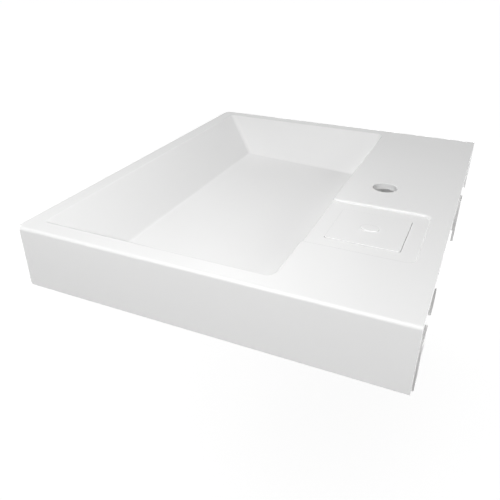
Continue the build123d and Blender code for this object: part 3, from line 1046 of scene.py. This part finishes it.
@dataclass
class WallBrackets(SubAssembly):
    """The two brackets with their rubber pads, inserts, washers and screws."""

    arm_width: float = 30 * MM
    leg_face: float = -4 * MM
    weld_top: float = 9 * MM
    weld_foot: float = -43 * MM

    def build(self) -> None:
        """Dresses the brackets and adds the welds between each arm and its leg."""
        for side, sign in (("left", -1), ("right", 1)):
            self.dress(f"{side}_bracket", self.finishes.powder_coat)
            self.dress(f"{side}_bracket_pad", self.finishes.rubber)
            for cheek, out in (("outer", sign), ("inner", -sign)):
                x = middle_of(f"{side}_bracket").x + out * self.arm_width / 2
                bead = WeldBead(
                    f"{side}_{cheek}_weld", (x, self.leg_face, self.weld_top),
                    (x, self.leg_face, self.weld_foot), (out, 0, 0), Way.FORWARD.value,
                ).build()
                self.add_piece(bead, Body.BASIN, Slot.PAINTED_STEEL, self.finishes.powder_coat)
        self.dress("bracket_inserts", self.finishes.brass)
        self.dress("bracket_washers", self.finishes.zinc)
        self.dress("bracket_screws", self.finishes.zinc)


@dataclass(frozen=True)
class Lamp:
    """One soft rectangular lamp that faces the basin, with its width and height."""

    name: str
    place: Point
    size: tuple[float, float]
    power: float

    def build(self, aim: Vector) -> None:
        """Hangs the lamp.

        Args:
            aim: The point that it faces.
        """
        data = bpy.data.lights.new(self.name, "AREA")
        data.shape = "RECTANGLE"
        data.size, data.size_y = self.size
        data.energy = self.power
        lamp = bpy.data.objects.new(self.name, data)
        lamp.location = self.place
        lamp.rotation_euler = (aim - Vector(self.place)).to_track_quat("-Z", "Y").to_euler()
        bpy.context.scene.collection.objects.link(lamp)


@dataclass
class Studio:
    """The pale floor, the soft lamps, the white surroundings and the camera.

    Attributes:
        floor_level: The height of the floor.
        floor_half: Half its width.
        floor_colour: Its colour to the light that it throws back on the basin.
        floor_roughness: Its roughness.
        white: The colour of the surroundings.
        white_level: How bright the camera sees them, where 1 is white.
        near_glow: The strength of the glow that the camera sees on the floor beneath the basin.
        far_glow: Its strength from far_radius on.
        near_radius: Where the glow starts to rise.
        far_radius: Where it is at its highest.
        shadow_colour: The colour on which the camera sees the shadow.
        ambient: How bright the surroundings are as a light.
        aim: The point that the lamps face.
        lamps: The lamps.
        camera_place: Where the camera stands.
        camera_turn: Its turns about x, y and z in degrees.
        focal_length: Its focal length in millimetres.
        sensor: Its sensor's width in millimetres.
        clip: The nearest and farthest distances that it sees.
    """

    floor_level: float = -0.78
    floor_half: float = 30.0
    floor_colour: Colour = (0.8, 0.8, 0.8)
    floor_roughness: float = 0.9
    white: Colour = (1.0, 1.0, 1.0)
    white_level: float = 1.0
    near_glow: float = 0.8
    far_glow: float = 1.0
    near_radius: float = 0.9
    far_radius: float = 2.6
    shadow_colour: Colour = (0.3, 0.3, 0.3)
    ambient: float = 0.02
    aim: Point = (0.0, -0.25, 0.04)
    lamps: tuple[Lamp, ...] = (
        Lamp("main_lamp", (0.8, -0.35, 1.1), (1.0, 1.0), 13.5),
        Lamp("right_lamp", (1.4, -0.15, 1.2), (1.4, 1.4), 4.5),
        Lamp("low_right_lamp", (2.1, 0.5, -0.1), (1.6, 1.6), 4.9),
        Lamp("rear_lamp", (0.3, 1.9, 0.7), (1.8, 1.8), 12.5),
        Lamp("rear_left_lamp", (-1.6, 1.3, 0.8), (1.8, 1.8), 3.0),
        Lamp("left_lamp", (-1.2, -1.1, 1.5), (1.0, 1.0), 3.4),
        Lamp("low_left_lamp", (-1.4, -0.8, 1.1), (0.8, 0.8), 1.4),
        Lamp("low_rear_lamp", (0.0, 1.8, -0.1), (1.6, 0.3), 15.0),
        Lamp("low_front_lamp", (0.0, -2.3, -0.1), (1.6, 0.3), 15.0),
        Lamp("low_far_lamp", (-2.1, -0.25, -0.1), (1.6, 0.3), 15.0),
    )
    camera_place: Point = (0.73144, 0.01640, 0.39231)
    camera_turn: Point = (60.6397, -0.2802, 114.2061)
    focal_length: float = 38.928
    sensor: float = 36.0
    clip: Span = (0.01, 100.0)

    def seen(self, tree: bpy.types.NodeTree) -> bpy.types.NodeSocket:
        """Adds the nodes that pick out what the camera sees straight, in a reflection or through glass.

        Args:
            tree: The node tree.

        Returns:
            1 for such a ray and 0 for any other.
        """
        path = tree.nodes.new("ShaderNodeLightPath")
        found = path.outputs["Is Camera Ray"]
        for name in ("Is Glossy Ray", "Is Transmission Ray"):
            either = tree.nodes.new("ShaderNodeMath")
            either.operation = "MAXIMUM"
            tree.links.new(found, either.inputs[0])
            tree.links.new(path.outputs[name], either.inputs[1])
            found = either.outputs["Value"]
        return found

    def floor_finish(self) -> bpy.types.Material:
        """Makes a floor that the camera sees white, with the basin's shadow, and other rays see pale.

        Returns:
            The finished material.
        """
        board = Board("studio_floor")
        tree = board.tree
        centred = board.add("ShaderNodeVectorMath", Vector=board.place)
        centred.operation = "DISTANCE"
        centred.inputs[1].default_value = (self.aim[0], self.aim[1], self.floor_level)
        glow = board.add(
            "ShaderNodeMapRange", Value=centred.outputs["Value"],
            From_Min=self.near_radius, From_Max=self.far_radius, To_Min=self.near_glow, To_Max=self.far_glow,
        )
        glow.interpolation_type = "SMOOTHSTEP"
        shine = board.add("ShaderNodeEmission", Strength=glow.outputs["Result"])
        shade = board.add("ShaderNodeBsdfDiffuse", Color=(*self.shadow_colour, 1.0))
        both = board.add("ShaderNodeAddShader")
        tree.links.new(shine.outputs[0], both.inputs[0])
        tree.links.new(shade.outputs[0], both.inputs[1])
        board.set(Base_Color=self.floor_colour, Roughness=self.floor_roughness)
        either = board.add("ShaderNodeMixShader")
        tree.links.new(self.seen(tree), either.inputs[0])
        tree.links.new(board.shader.outputs[0], either.inputs[1])
        tree.links.new(both.outputs[0], either.inputs[2])
        tree.links.new(either.outputs[0], tree.nodes["Material Output"].inputs["Surface"])
        return board.material

    def build_floor(self) -> None:
        """Lays the floor."""
        half = self.floor_half
        corners = [(-half, -half), (half, -half), (half, half), (-half, half)]
        mesh = bpy.data.meshes.new("floor")
        mesh.from_pydata([(x, y, self.floor_level) for x, y in corners], [], [(0, 1, 2, 3)])
        mesh.materials.append(self.floor_finish())
        floor = bpy.data.objects.new("floor", mesh)
        bpy.context.scene.collection.objects.link(floor)

    def build_world(self) -> None:
        """Surrounds the scene with a white that lights it softly."""
        world = bpy.data.worlds.new("studio")
        world.use_nodes = True
        tree = world.node_tree
        white = tree.nodes["Background"]
        white.inputs["Color"].default_value = (*self.white, 1.0)
        level = tree.nodes.new("ShaderNodeMapRange")
        tree.links.new(self.seen(tree), level.inputs["Value"])
        level.inputs["To Min"].default_value = self.ambient
        level.inputs["To Max"].default_value = self.white_level
        tree.links.new(level.outputs["Result"], white.inputs["Strength"])
        bpy.context.scene.world = world

    def build_camera(self) -> None:
        """Sets the camera where the photograph was taken from."""
        data = bpy.data.cameras.new("camera")
        data.sensor_width = self.sensor
        data.lens = self.focal_length
        data.clip_start, data.clip_end = self.clip
        camera = bpy.data.objects.new("camera", data)
        camera.location = self.camera_place
        camera.rotation_euler = Euler([math.radians(turn) for turn in self.camera_turn], "XYZ")
        bpy.context.scene.collection.objects.link(camera)
        bpy.context.scene.camera = camera

    def build(self) -> None:
        """Builds the whole studio."""
        self.build_floor()
        self.build_world()
        for lamp in self.lamps:
            lamp.build(Vector(self.aim))
        self.build_camera()
        bpy.context.scene.view_settings.view_transform = "Standard"


def main() -> None:
    """Builds the studio and every sub-assembly in order."""
    logging.basicConfig(level=logging.INFO, format="%(message)s")
    Studio().build()
    finishes = Finishes()
    for kind in (BasinCasting, SoapShelf, WasteSet, Trap, HoseBranch, CleanOut, WallBrackets):
        part = kind(finishes)
        part.build()
        part.report()


if __name__ == "__main__":
    main()
